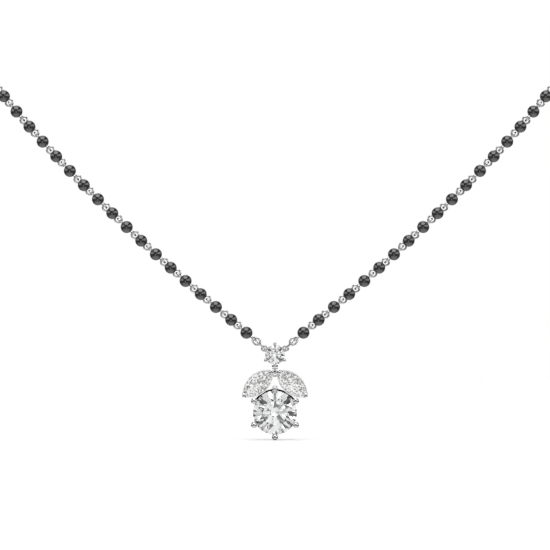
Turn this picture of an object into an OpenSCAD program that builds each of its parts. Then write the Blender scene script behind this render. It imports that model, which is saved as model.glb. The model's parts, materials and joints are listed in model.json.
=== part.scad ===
// Mangalsutra: a loop of black beads on linked eye pins, with a hanging drop of three cut stones.
// Millimetres, +Z up, the front of the loop towards -Y, the origin at the nape.

/* [Bead string] */
// Diameter of a black bead
bead_d = 2.0; // [1.6:0.1:2.4]
// Diameter of the wire of a bead's two eyes
eye_wire_d = 0.36; // [0.3:0.02:0.44]
// Outside diameter of an eye
eye_d = 1.52; // [1.4:0.04:1.8]
// Distance from a bead's surface out to the middle of its eye
eye_out = 0.38; // [0.3:0.02:0.6]
// Diameter of the wire inside a bead
stem_d = 0.3; // [0.2:0.02:0.34]

/* [End links] */
// Outside diameter of the round ring below the first bead
ring_d = 1.68; // [1.5:0.04:2.0]
// Diameter of the round ring's wire
ring_wire_d = 0.36; // [0.28:0.02:0.42]
// Diameter of the wire of the long link and of the side eyes
link_wire_d = 0.28; // [0.22:0.02:0.34]

/* [Upper stone] */
// Diameter of the upper round stone
upper_d = 3.18; // [2.8:0.1:3.6]
// Diameter of the balls on its prongs
upper_ball_d = 0.52; // [0.44:0.02:0.64]
// Distance from the stone's edge out to the middle of a prong
upper_prong_out = 0.18; // [0.16:0.02:0.22]
// Diameter of the setting's bottom rail
upper_base_d = 1.5; // [1.2:0.1:2.0]
// Thickness of the setting's rails
upper_rail_d = 0.26; // [0.2:0.02:0.32]
// Distance of the stone's edge in front of the chain
upper_front = 0.5; // [0.42:0.02:0.6]

/* [Bail] */
// Distance from the swing axis up to the lowest prong
bail_len = 0.9; // [0.84:0.02:1.2]
// Diameter of the wire at the bail's bend
bail_wire_d = 0.24; // [0.2:0.02:0.3]
// Width of the strap at its top
strap_top_w = 1.04; // [0.9:0.02:1.2]
// Width of the strap at its bottom
strap_foot_w = 0.86; // [0.5:0.02:0.9]
// Thickness of the strap
strap_t = 0.26; // [0.2:0.02:0.32]
// Radius of the bow of the strap's front
strap_bow_r = 0.9; // [0.8:0.05:1.4]
// Distance from the swing axis up to the strap's foot
strap_foot_y = 0.3; // [0.26:0.02:0.4]

/* [Drop] */
// Diameter of the large round stone
main_d = 7.14; // [6.5:0.1:8]
// Diameter of the balls on its prongs
main_ball_d = 1.02; // [0.84:0.02:1.1]
// Distance from the stone's edge out to the middle of a prong
main_prong_out = 0.35; // [0.3:0.01:0.4]
// Diameter of the setting's bottom rail
main_base_d = 2.9; // [2.4:0.1:3.6]
// Thickness of the setting's rails
main_rail_d = 0.32; // [0.26:0.02:0.4]
// Distance of the stones' edges in front of the swing axis
drop_front = 0.55; // [0.5:0.01:0.65]
// Diameter of the wire of the drop's eye
drop_eye_wire_d = 0.28; // [0.22:0.02:0.32]
// Slack of the drop's eye under the bail
drop_eye_play = 0.08; // [0.02:0.02:0.16]

/* [Leaves] */
// Length of a leaf setting from tip to tip
leaf_len = 6.62; // [6:0.1:7.2]
// Width of a leaf setting
leaf_w = 3.4; // [2.8:0.1:3.6]
// Slope of a leaf
leaf_slope = 40.2; // [38:0.2:44]
// Distance between the leaves' upper tips
leaf_apart = 0.5; // [0.5:0.02:1]
// Height of the upper tips above the swing axis
leaf_rise = 0.06; // [0:0.02:0.12]
// Thickness of the rim round a leaf stone
leaf_rim = 0.12; // [0.1:0.01:0.16]
// Width of the ledge under a leaf stone
leaf_ledge = 0.18; // [0.12:0.02:0.26]
// Depth of a leaf setting behind the stone's edge
leaf_depth = 0.7; // [0.6:0.02:0.9]
// Diameter of the round cap on a leaf's tip
claw_d = 1.05; // [1:0.05:1.4]
// Space between a leaf and the large stone
leaf_gap = 0.16; // [0.12:0.02:0.4]

/* [Stones] */
// Table of a round stone in parts of its diameter
table_share = 0.57; // [0.53:0.01:0.6]
// Slope of a round stone's crown
crown_slope = 34.5; // [32:0.5:36]
// Slope of a round stone's pavilion
pavilion_slope = 40.8; // [40:0.2:42]
// Thickness of a stone's edge
girdle_t = 0.12; // [0.06:0.01:0.16]
// Height of a leaf stone's crown
leaf_crown = 0.46; // [0.4:0.02:0.6]
// Depth of a leaf stone's pavilion
leaf_pavilion = 1.3; // [1:0.05:1.6]

/* [Clasp] */
// Diameter of the clasp's barrel
clasp_d = 2.6; // [2:0.1:3.4]
// Length of each tapered end of the barrel
clasp_taper = 1.4; // [1:0.1:2]

/* [Clearances] */
// Clearance between linked wires and inside a bead
link_gap = 0.1; // [0.1:0.01:0.14]
// Clearance round the drop's eye in the bail
swing_gap = 0.12; // [0.1:0.01:0.16]
// Clearance between a stone and its setting
seat_gap = 0.04; // [0.03:0.01:0.06]
// Clearance between a stone's pavilion and the rails
rail_gap = 0.1; // [0.06:0.01:0.14]

/* [Hidden] */
$fn = 48;
black = [0.06, 0.06, 0.07];
white_gold = [0.82, 0.82, 0.84];
diamond = [0.9, 0.95, 1.0];

// The right half of the string, from its first bead at the pendant to its last at the nape.
// Places are from the swing axis, +X right, +Y back, +Z up, chosen by hand.
route = [[4.63, 0, 6.23], [14.6, 0, 14.7], [24.2, 0, 23.5], [33.5, 0, 32.7], [42.2, 0, 42.4],
    [50.0, 2.0, 52.4], [56.2, 8.8, 61.8], [59.2, 20.0, 70.4], [58.6, 34.2, 77.8],
    [54.4, 49.0, 83.8], [46.0, 63.4, 88.2], [33.8, 74.6, 91.0], [19.8, 81.2, 92.4],
    [6.9, 83.0, 92.8]];
route_steps = 24;

function unit(v) = v / norm(v);
function flat_x(p, about) = [2 * about[0] - p[0], p[1], p[2]];
function square_to(v, t) = unit(v - (v * t) * t);

// The route is carried past its ends, so that the curve leaves both in the right direction.
last_stop = len(route) - 1;
stops = concat([2 * route[0] - route[1]], route, [flat_x(route[last_stop - 1], route[last_stop])]);
function curve(a, b, c, d, t) = (2 * b + (c - a) * t + (2 * a - 5 * b + 4 * c - d) * t * t
    + (3 * b - a - 3 * c + d) * t * t * t) / 2;
trail = concat([for (i = [0 : last_stop - 1], j = [0 : route_steps - 1])
    curve(stops[i], stops[i + 1], stops[i + 2], stops[i + 3], j / route_steps)], [route[last_stop]]);
reach = [for (i = 0, s = 0; i < len(trail);
    s = s + (i + 1 < len(trail) ? norm(trail[i + 1] - trail[i]) : 0), i = i + 1) s];
route_len = reach[len(reach) - 1];
by_x = [for (i = [0 : len(trail) - 1]) [reach[i], trail[i][0]]];
by_y = [for (i = [0 : len(trail) - 1]) [reach[i], trail[i][1]]];
by_z = [for (i = [0 : len(trail) - 1]) [reach[i], trail[i][2]]];
function place(s) = [lookup(s, by_x), lookup(s, by_y), lookup(s, by_z)];

// Beads fill the route evenly, as close as their eyes allow.
bead_r = bead_d / 2;
eye_wire_r = eye_wire_d / 2;
eye_r = eye_d / 2 - eye_wire_r;
eye_seat = bead_r + eye_out;
closest = max(2 * eye_seat + eye_wire_d + link_gap, bead_r + eye_seat + eye_d / 2 + link_gap);
bead_count = floor(route_len / closest) + 1;
pitch = route_len / (bead_count - 1);
sight = 0.5;
bead_at = [for (k = [0 : bead_count - 1]) place(k * pitch)];
bead_dir = [for (k = [0 : bead_count - 1]) unit(place(k * pitch + sight) - place(k * pitch - sight))];

// The outward side of each bead, carried along the string without twist.
function carried(k) = square_to(k == 0 ? [0, -1, 0] : carried(k - 1), bead_dir[k]);

// Front view of the pendant: X right, Y up, Z towards the viewer, from the swing axis.
link_wire_r = link_wire_d / 2;
bail_wire_r = bail_wire_d / 2;
bail_r = drop_eye_wire_d / 2 + swing_gap + bail_wire_r;
drop_eye_r = (drop_eye_wire_d / 2 + bail_r + bail_wire_r + swing_gap + drop_eye_play) / 2;
post_drop = 0.3;
upper_r = upper_d / 2;
upper_prong_r = upper_r + upper_prong_out;
upper_y = bail_len + upper_prong_r;
main_r = main_d / 2;

// A leaf's outline is two arcs: their radius and the distance of their centres from the middle line.
leaf_arc = (pow(leaf_len / 2, 2) + pow(leaf_w / 2, 2)) / leaf_w;
leaf_off = leaf_arc - leaf_w / 2;
leaf_mid = [leaf_apart / 2 + leaf_len / 2 * cos(leaf_slope), leaf_rise - leaf_len / 2 * sin(leaf_slope)];
// The lower arc of the right leaf is drawn about this point, and the large stone hangs clear of it.
leaf_far = leaf_mid + leaf_off * [sin(leaf_slope), cos(leaf_slope)];
main_y = leaf_far[1] - sqrt(pow(leaf_arc + main_r + leaf_gap, 2) - pow(leaf_far[0], 2));

stone_arc = leaf_arc - leaf_rim - seat_gap;
stone_half = sqrt(stone_arc * stone_arc - leaf_off * leaf_off);

function culet_depth(r) = girdle_t / 2 + r * tan(pavilion_slope);
function rail_depth(stone_r, rail_r, wire_r) = girdle_t / 2 + (stone_r - rail_r) * tan(pavilion_slope)
    + (wire_r + rail_gap) / cos(pavilion_slope);
function strut_r(top_r, base_r, base_depth, depth) =
    top_r - (top_r - base_r) * (depth - post_drop) / (base_depth - post_drop);

// The chain's side eye is soldered to the outer side prong where that passes the chain.
side_eye_r = link_wire_d + 1.4 * link_gap;
side_prong_r = strut_r(upper_prong_r, upper_base_d / 2, culet_depth(upper_r), upper_front);
side_eye = [cos(30), sin(30)] * (side_prong_r + side_eye_r) + [0, upper_y];

// The end links run from the side eye to the first bead's lower eye.
first_eye = bead_at[0] - eye_seat * bead_dir[0];
end_span = [first_eye[0], first_eye[2]] - side_eye;
end_dir = unit(end_span);
link_slack = 0.02;
ring_wire_r = ring_wire_d / 2;
ring_r = ring_d / 2 - ring_wire_r;
ring_at = norm(end_span) - eye_r - ring_r + eye_wire_r + ring_wire_r + link_gap + link_slack;
long_link_end = ring_at - ring_r + ring_wire_r + link_wire_r + link_gap + link_slack;
long_link_r = max(ring_wire_r, link_wire_r) + link_gap + link_slack + link_wire_r;

// The origin is on the neck side of the clasp.
nape = [0, route[last_stop][1] - clasp_d / 2, route[last_stop][2]];

module in_place() {
    translate(-nape) children();
}

module front_view() {
    in_place() rotate([90, 0, 0]) children();
}

// Local X along the string, local Y on its outward side.
module along(at, dir, out) {
    up = cross(dir, out);
    multmatrix([[dir[0], out[0], up[0], at[0]], [dir[1], out[1], up[1], at[1]],
        [dir[2], out[2], up[2], at[2]], [0, 0, 0, 1]]) children();
}

module wire_ring(r, wire_r) {
    rotate_extrude() translate([r, 0]) circle(r = wire_r);
}

module rod(a, b, r) {
    d = b - a;
    translate(a) rotate([0, acos(d[2] / norm(d)), atan2(d[1], d[0])]) cylinder(r = r, h = norm(d));
}

// One bead with a drilled hole, and a slot at each end that seats the eye.
module bead() {
    difference() {
        rotate([45, 0, 0]) rotate([0, 90, 0]) sphere(r = bead_r);
        rotate([0, 90, 0]) cylinder(d = stem_d + 2 * link_gap, h = 2 * bead_d, center = true);
        for (side = [-1, 1]) translate([side * eye_seat, 0, 0])
            cylinder(r = eye_d / 2 + link_gap, h = eye_wire_d + 2 * link_gap, center = true);
    }
}

// One wire through a bead with an eye soldered at each end.
module eye_pin() {
    rotate([0, 90, 0]) cylinder(d = stem_d, h = 2 * (eye_seat - eye_r), center = true);
    for (side = [-1, 1]) translate([side * eye_seat, 0, 0]) wire_ring(eye_r, eye_wire_r);
}

// Every second bead is turned a quarter, as linked eyes lie.
module string_of() {
    in_place() for (k = [0 : bead_count - 1])
        along(bead_at[k], bead_dir[k], carried(k)) rotate([k % 2 * 90, 0, 0]) children();
}

module jump_ring() {
    front_view() translate(concat(side_eye + ring_at * end_dir, [0])) wire_ring(ring_r, ring_wire_r);
}

// A link with straight sides, on edge to the viewer.
module long_link() {
    side_r = link_wire_r + 0.01;
    side_len = long_link_end - 2 * long_link_r + 0.1;
    front_view() translate(concat(side_eye, [0])) rotate([90, 0, atan2(end_dir[1], end_dir[0])]) {
        translate([long_link_end, 0, 0]) rotate([0, 0, -90]) link_bend();
        rotate([0, 0, 90]) link_bend();
        for (side = [-1, 1]) translate([long_link_end / 2, side * long_link_r, 0]) rotate([0, 90, 0])
            cylinder(r = side_r, h = side_len, center = true);
    }
}

module link_bend() {
    translate([0, -long_link_r, 0]) rotate_extrude(angle = 180)
        translate([long_link_r, 0]) circle(r = link_wire_r);
}

// Six prongs round a stone, on a seat rail behind its edge and a bottom rail behind its point.
module head(stone_r, prong_out, ball_d, base_r, rail_r) {
    prong_r = stone_r + prong_out;
    post_r = prong_out - seat_gap;
    ball_r = ball_d / 2;
    lift = sqrt(pow(ball_r + seat_gap, 2) - prong_out * prong_out);
    base_depth = culet_depth(stone_r);
    seat_r = stone_r - rail_r;
    joint_r = post_r + 0.01;
    for (a = [30 : 60 : 330]) rotate([0, 0, a]) {
        translate([prong_r, 0, lift]) sphere(r = ball_r);
        translate([prong_r, 0, -post_drop]) cylinder(r = post_r, h = post_drop + lift);
        translate([prong_r, 0, -post_drop]) sphere(r = joint_r);
        rod([prong_r, 0, -post_drop], [base_r, 0, -base_depth], post_r);
        translate([base_r, 0, -base_depth]) sphere(r = max(joint_r, rail_r + 0.01));
    }
    translate([0, 0, -rail_depth(stone_r, seat_r, rail_r)]) wire_ring(seat_r, rail_r);
    translate([0, 0, -base_depth]) wire_ring(base_r, rail_r);
}

// The outline of a leaf between two arcs, drawn in by an inset.
module leaf_outline(inset, low, high) {
    translate([0, 0, low]) intersection_for(side = [-1, 1])
        translate([0, side * leaf_off, 0]) cylinder(r = leaf_arc - inset, h = high - low);
}

// The thin rim and ledge of a leaf, with a rounded cap over the stone at each tip.
module leaf_setting() {
    cap_at = leaf_len / 2 - 0.34 * claw_d;
    cap_drop = 0.1;
    cap_reach = stone_half - cap_at + claw_d / 2;
    cap_under = leaf_crown * cap_reach / (stone_half * (1 - leaf_table)) + seat_gap;
    rim_up = 0.1;
    ledge_at = -0.25;
    difference() {
        union() {
            leaf_outline(0, -leaf_depth, rim_up);
            for (side = [-1, 1]) intersection() {
                leaf_outline(0, -leaf_depth, claw_d);
                translate([side * cap_at, 0, -cap_drop]) sphere(d = claw_d);
            }
        }
        leaf_outline(leaf_rim, ledge_at, cap_under);
        leaf_outline(leaf_rim + leaf_ledge, -2 * leaf_depth, cap_under);
    }
}

module at_leaf() {
    translate([leaf_mid[0], leaf_mid[1], drop_front]) rotate([0, 0, -leaf_slope]) children();
}

// A flat collar over the top half of the large stone's seat rail, soldered to the leaves' rims.
module leaf_collar() {
    first_prong = 30;
    last_prong = 150;
    into_rim = 0.12;
    rail_r = main_rail_d / 2;
    z = drop_front - rail_depth(main_r, main_r - rail_r, rail_r);
    translate([0, main_y, z]) rotate([0, 0, first_prong])
        rotate_extrude(angle = last_prong - first_prong) translate([main_r - main_rail_d, -rail_r / 2])
            square([main_rail_d + leaf_gap + into_rim, rail_r]);
}

// Cut stones. Rings of points follow a sixteen-point outline from the table down to the point.
module cut_stone(edge, table, star, star_z, crown_z, lower, lower_z, low, low_z, point_z) {
    top = girdle_t / 2;
    points = concat(
        [for (k = [0 : 7]) concat(edge[2 * k] * table, [top + crown_z])],
        [for (k = [0 : 7]) concat(edge[2 * k + 1] * star, [top + star_z])],
        [for (j = [0 : 15]) concat(edge[j], [top])],
        [for (j = [0 : 15]) concat(edge[j], [-top])],
        [for (k = [0 : 7]) concat(edge[2 * k + 1] * lower, [-top - lower_z])],
        [for (k = [0 : 7]) concat(edge[2 * k] * low, [-top - low_z])],
        [[0, 0, -top - point_z]]);
    faces = concat(
        [[for (k = [7 : -1 : 0]) k]],
        [for (k = [0 : 7]) let (m = (k + 1) % 8) each [
            [m, 8 + k, k], [8 + k, 16 + 2 * k, k], [8 + k, 16 + 2 * m, 17 + 2 * k],
            [8 + k, 17 + 2 * k, 16 + 2 * k], [8 + k, m, 16 + 2 * m],
            [48 + k, 32 + 2 * k, 33 + 2 * k], [48 + k, 33 + 2 * k, 32 + 2 * m],
            [56 + k, 32 + 2 * k, 48 + k], [56 + m, 48 + k, 32 + 2 * m],
            [48 + k, 56 + m, 56 + k], [64, 56 + k, 56 + m]]],
        [for (j = [0 : 15]) let (n = (j + 1) % 16) each [
            [16 + n, 32 + j, 16 + j], [16 + n, 32 + n, 32 + j]]]);
    polyhedron(points, faces);
}

// A brilliant cut: every kite and main facet is flat.
module round_stone(r) {
    table = table_share;
    star = (1 + table * cos(22.5)) / 2;
    lower = 0.23;
    low = 0.1;
    fall = r * tan(pavilion_slope);
    rise = r * tan(crown_slope);
    cut_stone([for (j = [0 : 15]) r * [cos(22.5 * j), sin(22.5 * j)]],
        table, star, rise * (1 - star * cos(22.5)), rise * (1 - table),
        lower, fall * (1 - lower * cos(22.5)), low, fall * (1 - low), fall);
}

leaf_table = 0.52;

// A pointed oval cut on the leaf's own outline.
module leaf_stone() {
    half_angle = asin(stone_half / stone_arc);
    side = [for (j = [0 : 7]) let (a = 90 - half_angle + half_angle * j / 4)
        [stone_arc * cos(a), stone_arc * sin(a) - leaf_off]];
    cut_stone(concat(side, -side), leaf_table, 0.78, 0.6 * leaf_crown, leaf_crown,
        0.6, 0.5 * leaf_pavilion, 0.28, 0.82 * leaf_pavilion, leaf_pavilion);
}

module beads_right() {
    color(black) string_of() bead();
}

module beads_left() {
    mirror([1, 0, 0]) beads_right();
}

module pins_right() {
    color(white_gold) string_of() eye_pin();
}

module pins_left() {
    mirror([1, 0, 0]) pins_right();
}

module jump_ring_right() {
    color(white_gold) jump_ring();
}

module jump_ring_left() {
    mirror([1, 0, 0]) jump_ring_right();
}

module long_link_right() {
    color(white_gold) long_link();
}

module long_link_left() {
    mirror([1, 0, 0]) long_link_right();
}

// The upper stone's setting, the chain's side eyes and the bail, soldered into one.
module upper_setting() {
    base_y = upper_y - upper_base_d / 2;
    base_z = upper_front - culet_depth(upper_r);
    strap_y = bail_len + 0.05;
    strap_z = upper_front - strap_t + 0.02;
    color(white_gold) front_view() {
        translate([0, upper_y, upper_front])
            head(upper_r, upper_prong_out, upper_ball_d, upper_base_d / 2, upper_rail_d / 2);
        for (side = [-1, 1]) translate([side * side_eye[0], side_eye[1], 0])
            wire_ring(side_eye_r, link_wire_r);
        rotate([0, 90, 0]) wire_ring(bail_r, bail_wire_r);
        intersection() {
            translate([0, 0, strap_z]) linear_extrude(strap_t)
                polygon([[-strap_foot_w / 2, strap_foot_y], [strap_foot_w / 2, strap_foot_y],
                    [strap_top_w / 2, strap_y], [-strap_top_w / 2, strap_y]]);
            translate([0, (strap_foot_y + strap_y) / 2, strap_z + strap_t - strap_bow_r])
                rotate([0, 90, 0]) cylinder(r = strap_bow_r, h = 2 * strap_top_w, center = true);
        }
        rod([0, bail_r / 2, -bail_r * 0.85], [0, base_y, base_z], bail_wire_r + 0.02);
    }
}

module upper_stone() {
    color(diamond) front_view() translate([0, upper_y, upper_front]) round_stone(upper_r);
}

// The large stone's setting, both leaf settings and the drop's eye, soldered into one.
module drop_setting() {
    mid_depth = 1.6;
    main_prong_r = main_r + main_prong_out;
    color(white_gold) front_view() {
        translate([0, main_y, drop_front]) {
            head(main_r, main_prong_out, main_ball_d, main_base_d / 2, main_rail_d / 2);
            translate([0, 0, -mid_depth]) wire_ring(
                strut_r(main_prong_r, main_base_d / 2, culet_depth(main_r), mid_depth), main_rail_d / 2);
        }
        translate([0, -drop_eye_r, 0]) wire_ring(drop_eye_r, drop_eye_wire_d / 2);
        leaf_collar();
        for (side = [0, 1]) mirror([side, 0, 0]) at_leaf() leaf_setting();
    }
}

module main_stone() {
    color(diamond) front_view() translate([0, main_y, drop_front]) round_stone(main_r);
}

module leaf_stone_right() {
    color(diamond) front_view() at_leaf() leaf_stone();
}

module leaf_stone_left() {
    mirror([1, 0, 0]) leaf_stone_right();
}

// A plain barrel at the nape, with a ring at each end linked to the last eye.
module clasp() {
    ring_x = route[last_stop][0] - eye_seat - eye_wire_d - link_gap - 2 * link_slack;
    half = ring_x - eye_r;
    out = carried(bead_count - 1);
    turn = atan2(out[2], out[1]) + 90 * (bead_count % 2);
    color(white_gold) translate([0, clasp_d / 2, 0]) rotate([turn, 0, 0]) {
        rotate([0, 90, 0]) cylinder(d = clasp_d, h = 2 * (half - clasp_taper), center = true);
        for (side = [-1, 1]) {
            translate([side * (half - clasp_taper), 0, 0]) rotate([0, side * 90, 0])
                cylinder(d1 = clasp_d, d2 = 2 * eye_wire_d, h = clasp_taper);
            translate([side * ring_x, 0, 0]) wire_ring(eye_r, eye_wire_r);
        }
    }
}

beads_right();
beads_left();
pins_right();
pins_left();
jump_ring_right();
jump_ring_left();
long_link_right();
long_link_left();
upper_setting();
upper_stone();
drop_setting();
main_stone();
leaf_stone_right();
leaf_stone_left();
clasp();
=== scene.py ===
import json
import math
import random

import bmesh
import bpy
from mathutils import Matrix, Vector


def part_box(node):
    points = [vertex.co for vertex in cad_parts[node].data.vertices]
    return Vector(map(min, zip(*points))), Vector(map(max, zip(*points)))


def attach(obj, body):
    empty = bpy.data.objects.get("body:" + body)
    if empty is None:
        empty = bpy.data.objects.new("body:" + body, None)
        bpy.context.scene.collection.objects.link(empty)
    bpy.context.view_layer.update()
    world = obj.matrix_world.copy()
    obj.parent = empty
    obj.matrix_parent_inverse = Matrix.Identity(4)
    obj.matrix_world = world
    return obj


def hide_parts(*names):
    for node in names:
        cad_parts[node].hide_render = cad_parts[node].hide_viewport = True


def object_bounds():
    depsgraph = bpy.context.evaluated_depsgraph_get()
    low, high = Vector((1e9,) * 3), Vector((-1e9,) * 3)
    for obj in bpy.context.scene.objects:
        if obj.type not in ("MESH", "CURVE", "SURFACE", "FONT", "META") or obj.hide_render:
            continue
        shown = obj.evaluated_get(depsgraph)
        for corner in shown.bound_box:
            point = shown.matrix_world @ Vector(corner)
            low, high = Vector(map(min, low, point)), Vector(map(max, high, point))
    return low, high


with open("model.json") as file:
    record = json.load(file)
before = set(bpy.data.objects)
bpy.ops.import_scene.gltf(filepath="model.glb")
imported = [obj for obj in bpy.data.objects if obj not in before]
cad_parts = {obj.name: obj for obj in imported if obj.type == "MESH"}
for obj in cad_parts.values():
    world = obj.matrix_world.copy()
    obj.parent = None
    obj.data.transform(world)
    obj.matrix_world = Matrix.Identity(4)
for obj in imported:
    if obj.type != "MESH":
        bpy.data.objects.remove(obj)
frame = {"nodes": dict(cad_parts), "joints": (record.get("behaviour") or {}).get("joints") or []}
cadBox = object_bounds()
mm = 0.001
weld = 0.001 * mm  # corners closer than this are one
swingAxis = Vector(frame["joints"][0]["pos_m"])

# local X to the right, local Y up and local Z towards the camera
frontView = Matrix(((1, 0, 0, 0), (0, 0, -1, 0), (0, 1, 0, 0), (0, 0, 0, 1)))


def linearColour(hexCode):
    channels = [int(hexCode[i : i + 2], 16) / 255 for i in (0, 2, 4)]
    return (*[c / 12.92 if c <= 0.04045 else ((c + 0.055) / 1.055) ** 2.4 for c in channels], 1.0)


def setInputs(tree, node, inputs):
    for name, value in inputs.items():
        if isinstance(value, bpy.types.NodeSocket):
            tree.links.new(value, node.inputs[name])
        else:
            node.inputs[name].default_value = value


# a Mix node takes its two colours at sockets 6 and 7 and gives the mixed one at 2
def addNode(tree, kind, inputs, **settings):
    node = tree.nodes.new(kind)
    for name, value in settings.items():
        setattr(node, name, value)
    setInputs(tree, node, inputs)
    return node


def startMaterial(name):
    material = bpy.data.materials.new(name)
    material.use_nodes = True
    return material, material.node_tree, material.node_tree.nodes["Principled BSDF"]


# white gold plated with rhodium and barrel polished: a near white mirror with faint buffing marks, drawn
# coarser than real ones so that they show, and painted shade, a near black colour in the nooks and between
# parts
rhodium = {"colour": "E9E9EA", "paintedShade": "1C1C1D", "nook": 0.4 * mm, "nookFrom": 0.3, "nookTo": 0.78,
           "nookRays": 8, "grain": 0.25 * mm, "grainDetail": 3.0, "grainFrom": 0.35, "grainTo": 0.65,
           "polish": (0.03, 0.1), "relief": 0.3, "ripple": 0.002 * mm, "burnish": 0.012 * mm}


# the optional argument adds nodes that give 0 where the painted shade is full, and 1 elsewhere
def makeRhodium(name, ripple, findUnshaded=None):
    material, tree, shader = startMaterial(name)
    place = addNode(tree, "ShaderNodeTexCoord", {})
    # painted shade: where ambient occlusion finds the surface closed in, the colour goes towards the near
    # black painted shade colour
    openness = addNode(tree, "ShaderNodeAmbientOcclusion", {"Distance": rhodium["nook"]},
                       samples=rhodium["nookRays"])
    unshadedByOcclusion = addNode(tree, "ShaderNodeMapRange", {
        "Value": openness.outputs["AO"], "From Min": rhodium["nookFrom"], "From Max": rhodium["nookTo"]})
    unshaded = unshadedByOcclusion.outputs["Result"]
    if findUnshaded:
        both = addNode(tree, "ShaderNodeMath", {0: findUnshaded(tree, place), 1: unshaded}, operation="MULTIPLY")
        unshaded = both.outputs["Value"]
    tone = addNode(tree, "ShaderNodeMix", {
        "Factor": unshaded, 6: linearColour(rhodium["paintedShade"]), 7: linearColour(rhodium["colour"])},
        data_type="RGBA")
    marks = addNode(tree, "ShaderNodeTexNoise", {
        "Vector": place.outputs["Object"], "Scale": 1 / rhodium["grain"], "Detail": rhodium["grainDetail"]})
    polish = addNode(tree, "ShaderNodeMapRange", {
        "Value": marks.outputs["Fac"], "From Min": rhodium["grainFrom"], "From Max": rhodium["grainTo"],
        "To Min": rhodium["polish"][0], "To Max": rhodium["polish"][1]})
    bump = addNode(tree, "ShaderNodeBump", {
        "Height": marks.outputs["Fac"], "Strength": rhodium["relief"], "Distance": ripple})
    setInputs(tree, shader, {
        "Base Color": tone.outputs[2], "Metallic": 1.0, "Roughness": polish.outputs["Result"],
        "Normal": bump.outputs["Normal"]})
    return material


# onyx tumbled to a gloss: nearly black, with faint smoky bands inside each bead. Its index is above onyx's
# own 1.54, for the bright glints of a waxed bead
onyx = {"dark": "060607", "smoke": "131317", "band": 0.8 * mm, "bandDetail": 4.0, "bandSwirl": 1.5,
        "bandFrom": 0.3, "bandTo": 0.7, "polish": (0.03, 0.09), "ior": 2.2}


def makeOnyx():
    material, tree, shader = startMaterial("tumbledBlackOnyx")
    place = addNode(tree, "ShaderNodeTexCoord", {})
    bands = addNode(tree, "ShaderNodeTexNoise", {
        "Vector": place.outputs["Object"], "Scale": 1 / onyx["band"], "Detail": onyx["bandDetail"],
        "Distortion": onyx["bandSwirl"]})
    tone = addNode(tree, "ShaderNodeMix", {
        "Factor": bands.outputs["Fac"], 6: linearColour(onyx["dark"]), 7: linearColour(onyx["smoke"])},
        data_type="RGBA")
    polish = addNode(tree, "ShaderNodeMapRange", {
        "Value": bands.outputs["Fac"], "From Min": onyx["bandFrom"], "From Max": onyx["bandTo"],
        "To Min": onyx["polish"][0], "To Max": onyx["polish"][1]})
    setInputs(tree, shader, {
        "Base Color": tone.outputs[2], "Roughness": polish.outputs["Result"], "IOR": onyx["ior"]})
    return material


# cut and polished diamond: clear, with more fire and glitter than glass, and the faintest cool clouds inside
diamond = {"clear": "FFFFFF", "clouded": "F9FAFC", "cloud": 0.9 * mm, "cloudDetail": 2.0, "clarity": 1.0,
           "ior": 2.417}
# white sapphire bends light less and is a little milky and warm beside diamond
sapphire = {"clear": "FFFFFE", "clouded": "FCFAF9", "cloud": 0.9 * mm, "cloudDetail": 2.0, "clarity": 0.72,
            "ior": 1.77}


def makeStone(name, gem):
    material, tree, shader = startMaterial(name)
    place = addNode(tree, "ShaderNodeTexCoord", {})
    clouds = addNode(tree, "ShaderNodeTexNoise", {
        "Vector": place.outputs["Object"], "Scale": 1 / gem["cloud"], "Detail": gem["cloudDetail"]})
    tone = addNode(tree, "ShaderNodeMix", {
        "Factor": clouds.outputs["Fac"], 6: linearColour(gem["clear"]), 7: linearColour(gem["clouded"])},
        data_type="RGBA")
    setInputs(tree, shader, {
        "Base Color": tone.outputs[2], "Transmission Weight": gem["clarity"], "Roughness": 0.0,
        "IOR": gem["ior"]})
    return material


# burnished silver foil behind the leaf stones, as in folk jewellery, which throws the light back out of them
foil = {"bright": "FAFAF9", "dull": "F1F1EF", "wrinkle": 0.3 * mm, "wrinkleDetail": 2.0, "wrinkleFrom": 0.35,
        "wrinkleTo": 0.65, "polish": (0.03, 0.06)}


def makeFoil():
    material, tree, shader = startMaterial("burnishedSilverFoil")
    place = addNode(tree, "ShaderNodeTexCoord", {})
    wrinkles = addNode(tree, "ShaderNodeTexNoise", {
        "Vector": place.outputs["Object"], "Scale": 1 / foil["wrinkle"], "Detail": foil["wrinkleDetail"]})
    tone = addNode(tree, "ShaderNodeMix", {
        "Factor": wrinkles.outputs["Fac"], 6: linearColour(foil["bright"]), 7: linearColour(foil["dull"])},
        data_type="RGBA")
    polish = addNode(tree, "ShaderNodeMapRange", {
        "Value": wrinkles.outputs["Fac"], "From Min": foil["wrinkleFrom"], "From Max": foil["wrinkleTo"],
        "To Min": foil["polish"][0], "To Max": foil["polish"][1]})
    setInputs(tree, shader, {
        "Base Color": tone.outputs[2], "Metallic": 1.0, "Roughness": polish.outputs["Result"]})
    return material


# uncoated paper: matte and faintly fibrous, with a low glow that keeps it white out to its far edge
sweep = {"colour": "F8F8F8", "fibres": "FCFCFC", "fibre": 2 * mm, "fibreDetail": 3.0, "roughness": 0.9,
         "glow": 0.3, "reach": 350 * mm, "gap": 0.02 * mm, "sides": 96}


def makePaper():
    material, tree, shader = startMaterial("matteWhitePaper")
    place = addNode(tree, "ShaderNodeTexCoord", {})
    fibres = addNode(tree, "ShaderNodeTexNoise", {
        "Vector": place.outputs["Object"], "Scale": 1 / sweep["fibre"], "Detail": sweep["fibreDetail"]})
    tone = addNode(tree, "ShaderNodeMix", {
        "Factor": fibres.outputs["Fac"], 6: linearColour(sweep["colour"]), 7: linearColour(sweep["fibres"])},
        data_type="RGBA")
    setInputs(tree, shader, {
        "Base Color": tone.outputs[2], "Roughness": sweep["roughness"], "Specular IOR Level": 0.0,
        "Emission Color": (1, 1, 1, 1), "Emission Strength": sweep["glow"]})
    return material


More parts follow.
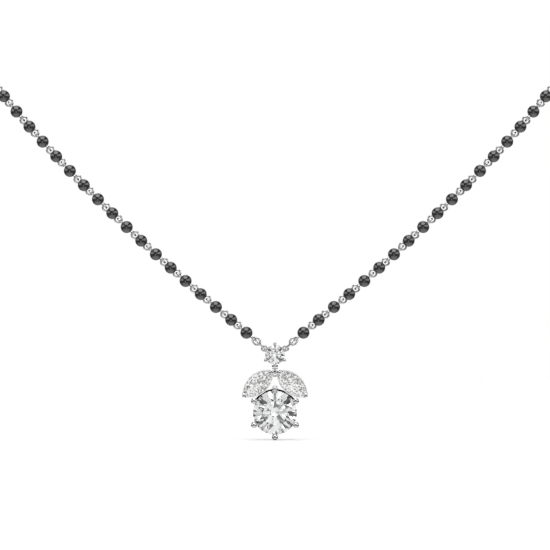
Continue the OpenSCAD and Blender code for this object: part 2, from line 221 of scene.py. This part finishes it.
rhodiumPlate = makeRhodium("rhodiumPlatedWhiteGold", rhodium["ripple"])
blackOnyx = makeOnyx()
roundDiamond = makeStone("brilliantCutDiamond", diamond)
leafSapphire = makeStone("leafCutWhiteSapphire", sapphire)
silverFoil = makeFoil()
print("materials done")


# the necklace hangs in front of a white sweep, seen level and from far off; the drop's pivot shows at
# axisPixel, counted from the top left
camera = {"distance": 600 * mm, "pixel": 0.1626 * mm, "pixels": 550, "axisPixel": (274.95, 371.0),
          "sensor": 36.0, "nearest": 10 * mm, "farthest": 20000 * mm}


def addCamera():
    middle = camera["pixels"] / 2
    data = bpy.data.cameras.new("camera")
    data.sensor_width = camera["sensor"]
    data.lens = camera["sensor"] * camera["distance"] / (camera["pixel"] * camera["pixels"])
    data.clip_start = camera["nearest"]
    data.clip_end = camera["farthest"]
    eye = bpy.data.objects.new("camera", data)
    eye.location = swingAxis + Vector((
        (middle - camera["axisPixel"][0]) * camera["pixel"],
        -camera["distance"],
        (camera["axisPixel"][1] - middle) * camera["pixel"]))
    eye.rotation_euler = (math.radians(90), 0, 0)
    bpy.context.scene.collection.objects.link(eye)
    bpy.context.scene.camera = eye


addCamera()
print("camera done")


def finishMesh(bm, name, material, smooth=True):
    mesh = bpy.data.meshes.new(name)
    for face in bm.faces:
        face.smooth = smooth
    bm.to_mesh(mesh)
    bm.free()
    mesh.materials.append(material)
    piece = bpy.data.objects.new(name, mesh)
    bpy.context.scene.collection.objects.link(piece)
    return piece


# a CAD string of beads comes apart into its beads, and each bead's middle is found
def beadMiddles(nodeName):
    bm = bmesh.new()
    bm.from_mesh(frame["nodes"][nodeName].data)
    bmesh.ops.remove_doubles(bm, verts=bm.verts, dist=weld / 10)
    middles = []
    left = set(bm.verts)
    while left:
        found = []
        queue = [left.pop()]
        while queue:
            corner = queue.pop()
            found.append(corner.co.copy())
            for edge in corner.link_edges:
                other = edge.other_vert(corner)
                if other in left:
                    left.remove(other)
                    queue.append(other)
        low = Vector([min(p[i] for p in found) for i in range(3)])
        high = Vector([max(p[i] for p in found) for i in range(3)])
        middles.append((low + high) / 2)
    bm.free()
    return sorted(middles, key=lambda p: p.z)


# every bead lies along the string, and every second one is a quarter turn round it, as linked eyes are
def beadPlaces(nodeName):
    middles = beadMiddles(nodeName)
    outward = Vector((0, -1, 0))
    places = []
    for k, middle in enumerate(middles):
        along = (middles[min(k + 1, len(middles) - 1)] - middles[max(k - 1, 0)]).normalized()
        outward = (outward - outward.dot(along) * along).normalized()
        sideways = along.cross(outward)
        turn = Matrix((along, outward, sideways)).transposed().to_4x4()
        quarter = Matrix.Rotation(math.radians(90 * (k % 2)), 4, "X")
        places.append(Matrix.Translation(middle) @ turn @ quarter)
    return places


# each bead is drilled through, and a pin is one wire through it with an eye bent at both ends
bead = {"radius": 0.995 * mm, "bore": 0.25 * mm, "slices": 14, "rings": 8}
eyePin = {"eyeRadius": 0.58 * mm, "wire": 0.18 * mm, "seat": 1.38 * mm, "stem": 0.15 * mm,
          "stemSides": 8, "slices": 14, "wireSides": 6}


def shapeBead(bm):
    rimAngle = math.asin(bead["bore"] / bead["radius"])
    start = bm.verts.new((bead["radius"] * math.cos(rimAngle), 0, bead["bore"]))
    bmesh.ops.spin(bm, geom=[start], cent=(0, 0, 0), axis=(0, 1, 0), angle=2 * rimAngle - math.pi,
                   steps=bead["rings"], dvec=(0, 0, 0), use_merge=False, use_duplicate=False)
    profile = bm.verts[:] + bm.edges[:]
    bmesh.ops.spin(bm, geom=profile, cent=(0, 0, 0), axis=(1, 0, 0), angle=2 * math.pi,
                   steps=bead["slices"], dvec=(0, 0, 0), use_merge=True, use_duplicate=False)
    bmesh.ops.remove_doubles(bm, verts=bm.verts, dist=weld)
    rims = [e for e in bm.edges if e.is_boundary]
    bmesh.ops.bridge_loops(bm, edges=rims)
    bmesh.ops.recalc_face_normals(bm, faces=bm.faces)


# a round wire bent into a closed ring round the local Z
def addWireRing(bm, radius, wire, slices, sides, place):
    before = set(bm.verts)
    upright = Matrix.Translation((radius, 0, 0)) @ Matrix.Rotation(math.radians(90), 4, "X")
    section = bmesh.ops.create_circle(bm, cap_ends=False, radius=wire, segments=sides, matrix=upright)
    ring = section["verts"] + list({e for v in section["verts"] for e in v.link_edges})
    bmesh.ops.spin(bm, geom=ring, cent=(0, 0, 0), axis=(0, 0, 1), angle=2 * math.pi,
                   steps=slices, dvec=(0, 0, 0), use_merge=True, use_duplicate=False)
    bmesh.ops.remove_doubles(bm, verts=[v for v in bm.verts if v not in before], dist=weld)
    bmesh.ops.transform(bm, matrix=place, verts=[v for v in bm.verts if v not in before])


def shapeEyePin(bm):
    stemLength = 2 * (eyePin["seat"] - eyePin["eyeRadius"])
    bmesh.ops.create_cone(bm, cap_ends=True, segments=eyePin["stemSides"], radius1=eyePin["stem"],
                          radius2=eyePin["stem"], depth=stemLength,
                          matrix=Matrix.Rotation(math.radians(90), 4, "Y"))
    for side in (-1, 1):
        addWireRing(bm, eyePin["eyeRadius"], eyePin["wire"], eyePin["slices"], eyePin["wireSides"],
                    Matrix.Translation((side * eyePin["seat"], 0, 0)))
    bmesh.ops.recalc_face_normals(bm, faces=bm.faces)


# one mesh that holds the shape at every place
def repeatShape(shape, places, name, material):
    one = bmesh.new()
    shape(one)
    pattern = bpy.data.meshes.new("pattern")
    one.to_mesh(pattern)
    one.free()
    bm = bmesh.new()
    for place in places:
        count = len(bm.verts)
        bm.from_mesh(pattern)
        bm.verts.ensure_lookup_table()
        bmesh.ops.transform(bm, matrix=place, verts=bm.verts[count:])
    bpy.data.meshes.remove(pattern)
    return finishMesh(bm, name, material)


for side in ("right", "left"):
    places = beadPlaces("beads_" + side)
    beads = repeatShape(shapeBead, places, side + "Beads", blackOnyx)
    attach(beads, "necklace")
    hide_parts("beads_" + side)
    pins = repeatShape(shapeEyePin, places, side + "EyePins", rhodiumPlate)
    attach(pins, "necklace")
    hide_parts("pins_" + side)
    print(side, "string of", len(places), "beads done")


# each round ring has turned on its two neighbours, so it shows as an oval from the front, and its wire is a
# little finer than the solid's to stay clear of them
roundRing = {"turn": 40, "fineness": 0.9, "slices": 40, "wireSides": 12}

for side, way in (("right", 1), ("left", -1)):
    low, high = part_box("jump_ring_" + side)
    linkLow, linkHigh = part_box("long_link_" + side)
    middle = (low + high) / 2
    along = middle - (linkLow + linkHigh) / 2
    turned = Matrix.Rotation(math.radians(way * roundRing["turn"]), 4, along)
    wire = roundRing["fineness"] * (high.y - low.y) / 2
    bm = bmesh.new()
    addWireRing(bm, (high.x - low.x) / 2 - wire, wire, roundRing["slices"], roundRing["wireSides"],
                Matrix.Translation(middle) @ turned @ frontView)
    bmesh.ops.recalc_face_normals(bm, faces=bm.faces)
    ring = finishMesh(bm, side + "RoundRing", rhodiumPlate)
    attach(ring, "necklace")
    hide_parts("jump_ring_" + side)
    print(side, "round ring done")


grindMargin = 1e-5  # a corner this near a facet's plane counts as on it


# a facet is ground by a flat lap: everything outside its plane goes
def grindFacet(bm, point, outward):
    everything = bm.verts[:] + bm.edges[:] + bm.faces[:]
    cut = bmesh.ops.bisect_plane(bm, geom=everything, plane_co=point, plane_no=outward,
                                 clear_outer=True, clear_inner=False, dist=grindMargin)
    rim = [e for e in cut["geom_cut"] if isinstance(e, bmesh.types.BMEdge) and e.is_boundary]
    if rim:
        bmesh.ops.edgeloop_fill(bm, edges=rim, mat_nr=0, use_smooth=False)


# the flat through three corners, facing away from the stone's middle
def facetThrough(a, b, c):
    outward = (b - a).cross(c - a).normalized()
    if outward.dot(a + b + c) < 0:
        outward.negate()
    return a, outward


def around(radius, degrees, height):
    turn = math.radians(degrees)
    return Vector((radius * math.cos(turn), radius * math.sin(turn), height))


# a brilliant cut in parts of the stone's own radius
brilliant = {"table": 0.57, "crownSlope": 34.5, "pavilionSlope": 40.8, "girdle": 0.03, "lowerReach": 0.23,
             "mains": 8, "girdleSides": 64, "blankHeight": 4}


# how far the flat top stands in front of the middle of the girdle
def tableHeight():
    rise = math.tan(math.radians(brilliant["crownSlope"]))
    return brilliant["girdle"] / 2 + (1 - brilliant["table"]) * rise


def shapeBrilliant(bm):
    rise = math.tan(math.radians(brilliant["crownSlope"]))
    fall = math.tan(math.radians(brilliant["pavilionSlope"]))
    half = brilliant["girdle"] / 2
    table = brilliant["table"]
    top = tableHeight()
    step = 360 / brilliant["mains"]
    middle = math.cos(math.radians(step / 2))
    star = (1 + table * middle) / 2
    lower = brilliant["lowerReach"]
    starHeight = half + (1 - star * middle) * rise
    lowerHeight = -half - (1 - lower * middle) * fall
    sides = brilliant["girdleSides"]
    bmesh.ops.create_cone(bm, cap_ends=True, segments=sides, radius1=1, radius2=1,
                          depth=brilliant["blankHeight"],
                          matrix=Matrix.Rotation(math.radians(180 / sides), 4, "Z"))
    grindFacet(bm, Vector((0, 0, top)), Vector((0, 0, 1)))
    for k in range(brilliant["mains"]):
        main = step * k
        between = main + step / 2
        after = main + step
        # a main facet of the crown, a star facet beside the table and a main facet of the pavilion
        grindFacet(bm, *facetThrough(around(1, main, half), around(star, between, starHeight),
                                     around(star, between - step, starHeight)))
        grindFacet(bm, *facetThrough(around(table, main, top), around(table, after, top),
                                     around(star, between, starHeight)))
        grindFacet(bm, *facetThrough(around(1, main, -half), around(lower, between, lowerHeight),
                                     around(lower, between - step, lowerHeight)))
        # the halves above and below the girdle
        for corner in (main, after):
            grindFacet(bm, *facetThrough(around(1, corner, half), around(1, between, half),
                                         around(star, between, starHeight)))
            grindFacet(bm, *facetThrough(around(1, corner, -half), around(1, between, -half),
                                         around(lower, between, lowerHeight)))


def addRoundStone(nodeName, name, body):
    low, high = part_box(nodeName)
    radius = (high.x - low.x) / 2
    middle = Vector(((low.x + high.x) / 2, low.y + radius * tableHeight(), (low.z + high.z) / 2))
    place = Matrix.Translation(middle) @ frontView @ Matrix.Scale(radius, 4)
    bm = bmesh.new()
    shapeBrilliant(bm)
    bmesh.ops.transform(bm, matrix=place, verts=bm.verts)
    bmesh.ops.recalc_face_normals(bm, faces=bm.faces)
    stone = finishMesh(bm, name, roundDiamond, smooth=False)
    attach(stone, body)
    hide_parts(nodeName)
    print(name, "cut with", len(stone.data.polygons), "facets")


addRoundStone("upper_stone", "upperBrilliant", "necklace")
addRoundStone("main_stone", "mainBrilliant", "drop")


# the drop's metal is burnished by hand, and its painted shade is at full strength on the collar, which lies
# behind the top of the large stone's edge
collar = {"radius": 3.95 * mm, "front": 0.3 * mm, "back": 0.8 * mm, "up": 1.6 * mm, "soft": 0.03 * mm}


# painted shade: gives 0 on the collar, which gets the full painted shade there, and 1 elsewhere
def addAwayFromCollar(tree, place):
    low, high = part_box("main_stone")
    middle = (low + high) / 2
    edge = low.y + (high.x - low.x) / 2 * tableHeight()
    flatPlace = addNode(tree, "ShaderNodeVectorMath", {0: place.outputs["Object"], 1: (1, 0, 1)},
                        operation="MULTIPLY")
    outward = addNode(tree, "ShaderNodeVectorMath", {
        0: flatPlace.outputs["Vector"], 1: (middle.x, 0, middle.z)}, operation="DISTANCE")
    parts = addNode(tree, "ShaderNodeSeparateXYZ", {"Vector": place.outputs["Object"]})
    limits = ((outward.outputs["Value"], collar["radius"], collar["soft"]),
              (parts.outputs["Y"], edge + collar["front"], -collar["soft"]),
              (parts.outputs["Y"], edge + collar["back"], collar["soft"]),
              (parts.outputs["Z"], middle.z + collar["up"], -collar["soft"]))
    away = 0.0
    for value, limit, soft in limits:
        past = addNode(tree, "ShaderNodeMapRange", {
            "Value": value, "From Min": limit - soft, "From Max": limit + soft})
        most = addNode(tree, "ShaderNodeMath", {0: past.outputs["Result"], 1: away}, operation="MAXIMUM")
        away = most.outputs["Value"]
    return away


dropRhodium = makeRhodium("burnishedRhodium", rhodium["burnish"], addAwayFromCollar)

for nodeName in ("long_link_right", "long_link_left", "upper_setting", "drop_setting", "clasp"):
    node = frame["nodes"][nodeName]
    node.data.materials.clear()
    node.data.materials.append(dropRhodium if nodeName == "drop_setting" else rhodiumPlate)
print("settings, long links and clasp done")


# a pointed oval between two arcs, cut in tiers of flats whose slopes differ a little; its front is broken up
# into small facets that stand back unevenly, which looks like crushed ice
pointedOval = {"outlineFlats": 20, "girdle": 0.06 * mm, "crown": 0.46 * mm, "crownPeak": 1.15,
               "crownTiers": (18, 14), "pavilion": 1.3 * mm, "pavilionTiers": (40, 34, 28, 22, 16, 10),
               "bulge": 1.4, "unevenness": 3.0, "slopeSeed": 5, "facet": 0.4 * mm, "smallest": 0.25 * mm,
               "halvings": 5, "standBack": 0.13 * mm, "crushSeed": 7}


# the middle, the lengthwise and crosswise directions and the half sizes of a CAD leaf stone
def leafPlace(nodeName):
    corners = [v.co for v in frame["nodes"][nodeName].data.vertices]
    tipPair = max(((a, b) for a in corners for b in corners), key=lambda pair: (pair[0] - pair[1]).length)
    middle = (tipPair[0] + tipPair[1]) / 2
    along = (tipPair[1] - tipPair[0]).normalized()
    outward = Vector((0, -1, 0))
    across = outward.cross(along)
    halfWidth = max(abs((corner - middle).dot(across)) for corner in corners)
    turn = Matrix((along, across, outward)).transposed().to_4x4()
    return Matrix.Translation(middle) @ turn, (tipPair[1] - middle).length, halfWidth


def shapePointedOval(bm, halfLength, halfWidth):
    arc = (halfLength ** 2 + halfWidth ** 2) / (2 * halfWidth)
    tipAngle = math.degrees(math.asin(halfLength / arc))

    # the outline's point that faces the given way
    def edgePoint(degrees):
        lean = (degrees % 180) - 90
        side = 1 if degrees % 360 < 180 else -1
        if abs(lean) > tipAngle:
            return Vector((-side * halfLength if lean > 0 else side * halfLength, 0, 0))
        return Vector((-side * arc * math.sin(math.radians(lean)),
                       side * (arc * math.cos(math.radians(lean)) - arc + halfWidth), 0))

    rough = Matrix.Diagonal((halfLength, halfWidth, 2 * pointedOval["pavilion"], 1))
    bmesh.ops.create_cube(bm, size=2, matrix=rough)
    flats = pointedOval["outlineFlats"]
    for side in (0, 180):
        for k in range(flats):
            degrees = 90 + (-tipAngle + 2 * tipAngle * (k + 0.5) / flats) + side
            grindFacet(bm, edgePoint(degrees), around(1, degrees, 0))
    uneven = random.Random(pointedOval["slopeSeed"])
    bulge = pointedOval["bulge"]
    crownPeak = pointedOval["crown"] * pointedOval["crownPeak"]
    for sign, counts, depth in ((1, pointedOval["crownTiers"], crownPeak),
                                (-1, pointedOval["pavilionTiers"], pointedOval["pavilion"])):
        for tier, count in enumerate(counts):
            # the tier lies along a curve that bulges out between the girdle and the stone's middle
            at = (tier + 0.5) / len(counts)
            reach = 1 + (bulge - 1) * at ** bulge
            aim = at + (1 - at ** bulge) / (bulge * at ** (bulge - 1))
            for k in range(count):
                degrees = 360 * (k + 0.5 * (tier % 2) + 0.25) / count
                edge = reach * edgePoint(degrees)
                slope = math.degrees(math.atan2(aim * depth, edge.dot(around(1, degrees, 0))))
                slope += uneven.uniform(0, pointedOval["unevenness"])
                outward = around(math.sin(math.radians(slope)), degrees, sign * math.cos(math.radians(slope)))
                grindFacet(bm, edge + Vector((0, 0, sign * pointedOval["girdle"] / 2)), outward)
    grindFacet(bm, Vector((0, 0, pointedOval["crown"])), Vector((0, 0, 1)))


# only the front's own corners move, so the girdle stays whole
def crushFront(bm):
    def inFront(corner):
        return corner.co.z > pointedOval["girdle"] / 2 + weld

    bmesh.ops.remove_doubles(bm, verts=[v for v in bm.verts if inFront(v)], dist=pointedOval["smallest"])
    bmesh.ops.triangulate(bm, faces=[f for f in bm.faces if f.calc_center_median().z > 0])
    for _ in range(pointedOval["halvings"]):
        tooLong = [e for e in bm.edges if e.calc_length() > pointedOval["facet"] and
                   any(inFront(corner) for corner in e.verts)]
        bmesh.ops.subdivide_edges(bm, edges=tooLong, cuts=1)
        bmesh.ops.triangulate(bm, faces=[f for f in bm.faces if len(f.verts) > 3 and
                                         f.calc_center_median().z > 0])
    bm.normal_update()
    uneven = random.Random(pointedOval["crushSeed"])
    for corner in bm.verts:
        if inFront(corner):
            corner.co -= corner.normal * uneven.uniform(0, pointedOval["standBack"])


for side in ("right", "left"):
    place, halfLength, halfWidth = leafPlace("leaf_stone_" + side)
    bm = bmesh.new()
    shapePointedOval(bm, halfLength, halfWidth)
    crushFront(bm)
    for face in bm.faces:
        face.material_index = int(face.calc_center_median().z < -pointedOval["girdle"] / 2)
    bmesh.ops.transform(bm, matrix=place, verts=bm.verts)
    bmesh.ops.recalc_face_normals(bm, faces=bm.faces)
    leafStone = finishMesh(bm, side + "LeafStone", leafSapphire, smooth=False)
    leafStone.data.materials.append(silverFoil)
    leafStone.visible_shadow = False  # the light goes through it into its setting
    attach(leafStone, "drop")
    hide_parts("leaf_stone_" + side)
    print(side, "leaf stone cut with", len(leafStone.data.polygons), "facets")


# a dark room that is paler below, with softboxes round the necklace; inside the stones the room is seen as a
# white tent with dark flags, shaded towards the camera
studio = {"backdrop": 1.0, "roomGlow": 0.16, "lowGlow": 0.87, "lowSide": (0.0, -0.1, -0.995), "lowFrom": 0.35,
          "lowTo": 0.9, "tentGlow": 1.0, "flagGlow": 0.06, "flagScale": 4.5, "flagDetail": 1.0,
          "flagFrom": 0.42, "flagTo": 0.52, "shadeFrom": 0.955, "shadeTo": 0.985, "shadeGlow": 0.12,
          "boxDistance": 1500 * mm}
# degrees round from the camera to its right, and up, as seen from the drop's pivot
softboxes = {
    "overhead": {"round": -12, "up": 73, "wide": 56, "tall": 54, "glow": 1.7},
    "overheadRear": {"round": 180, "up": 56, "wide": 36, "tall": 48, "glow": 0.75},
    "left": {"round": -75, "up": 19, "wide": 56, "tall": 30, "glow": 1.05},
    "leftRear": {"round": -119, "up": 17, "wide": 32, "tall": 26, "glow": 0.33},
    "right": {"round": 75, "up": 21, "wide": 56, "tall": 32, "glow": 1.05},
    "rightFront": {"round": 32, "up": 20, "wide": 30, "tall": 26, "glow": 0.8},
    "rightRear": {"round": 119, "up": 19, "wide": 32, "tall": 26, "glow": 0.33},
    "besideCamera": {"round": -5, "up": -8, "wide": 20, "tall": 23, "glow": 0.88},
}


def addRoom():
    world = bpy.data.worlds.new("darkRoom")
    world.use_nodes = True
    tree = world.node_tree
    look = addNode(tree, "ShaderNodeTexCoord", {})
    lowness = addNode(tree, "ShaderNodeVectorMath", {0: look.outputs["Generated"], 1: studio["lowSide"]},
                      operation="DOT_PRODUCT")
    glow = addNode(tree, "ShaderNodeMapRange", {
        "Value": lowness.outputs["Value"], "From Min": studio["lowFrom"], "From Max": studio["lowTo"],
        "To Min": studio["roomGlow"], "To Max": studio["lowGlow"]}, interpolation_type="SMOOTHSTEP")
    flags = addNode(tree, "ShaderNodeTexNoise", {
        "Vector": look.outputs["Generated"], "Scale": studio["flagScale"], "Detail": studio["flagDetail"]})
    tent = addNode(tree, "ShaderNodeMapRange", {
        "Value": flags.outputs["Fac"], "From Min": studio["flagFrom"], "From Max": studio["flagTo"],
        "To Min": studio["flagGlow"], "To Max": studio["tentGlow"]}, interpolation_type="SMOOTHSTEP")
    towardCamera = addNode(tree, "ShaderNodeVectorMath", {0: look.outputs["Generated"], 1: (0, -1, 0)},
                           operation="DOT_PRODUCT")
    beside = addNode(tree, "ShaderNodeMapRange", {
        "Value": towardCamera.outputs["Value"],
        "From Min": studio["shadeFrom"], "From Max": studio["shadeTo"],
        "To Min": 1.0, "To Max": studio["shadeGlow"]}, interpolation_type="SMOOTHSTEP")
    tented = addNode(tree, "ShaderNodeMath", {0: tent.outputs["Result"], 1: beside.outputs["Result"]},
                     operation="MULTIPLY")
    seen = addNode(tree, "ShaderNodeLightPath", {})
    # a ray that has been inside a stone sees the tent, any other the room, and the camera the backdrop
    either = addNode(tree, "ShaderNodeMix", {
        "Factor": seen.outputs["Transmission Depth"],
        "A": glow.outputs["Result"], "B": tented.outputs["Value"]})
    room = addNode(tree, "ShaderNodeBackground", {
        "Color": (1, 1, 1, 1), "Strength": either.outputs["Result"]})
    backdrop = addNode(tree, "ShaderNodeBackground", {
        "Color": (1, 1, 1, 1), "Strength": studio["backdrop"]})
    mix = addNode(tree, "ShaderNodeMixShader", {
        "Fac": seen.outputs["Is Camera Ray"], 1: room.outputs["Background"],
        2: backdrop.outputs["Background"]})
    setInputs(tree, tree.nodes["World Output"], {"Surface": mix.outputs["Shader"]})
    bpy.context.scene.world = world
    bpy.context.scene.view_settings.view_transform = "Standard"


def addPaper():
    bm = bmesh.new()
    bmesh.ops.create_circle(bm, cap_ends=True, segments=sweep["sides"], radius=sweep["reach"],
                            matrix=Matrix.Translation((0, swingAxis.y, cadBox[0].z - sweep["gap"])))
    paper = finishMesh(bm, "paper", makePaper(), smooth=False)
    paper.visible_glossy = False
    paper.visible_transmission = False


def addSoftbox(name, box):
    turn, lift = math.radians(box["round"]), math.radians(box["up"])
    away = Vector((math.sin(turn) * math.cos(lift), -math.cos(turn) * math.cos(lift), math.sin(lift)))
    data = bpy.data.lights.new(name, "AREA")
    data.shape = "RECTANGLE"
    data.size = 2 * studio["boxDistance"] * math.tan(math.radians(box["wide"] / 2))
    data.size_y = 2 * studio["boxDistance"] * math.tan(math.radians(box["tall"] / 2))
    data.energy = box["glow"] * math.pi * data.size * data.size_y  # the power that gives that glow
    lamp = bpy.data.objects.new(name, data)
    lamp.location = swingAxis + studio["boxDistance"] * away
    lamp.rotation_euler = away.to_track_quat("Z", "Y").to_euler()
    lamp.visible_camera = False
    bpy.context.scene.collection.objects.link(lamp)


addRoom()
addPaper()
for name, box in softboxes.items():
    addSoftbox(name + "Softbox", box)
print("studio done")
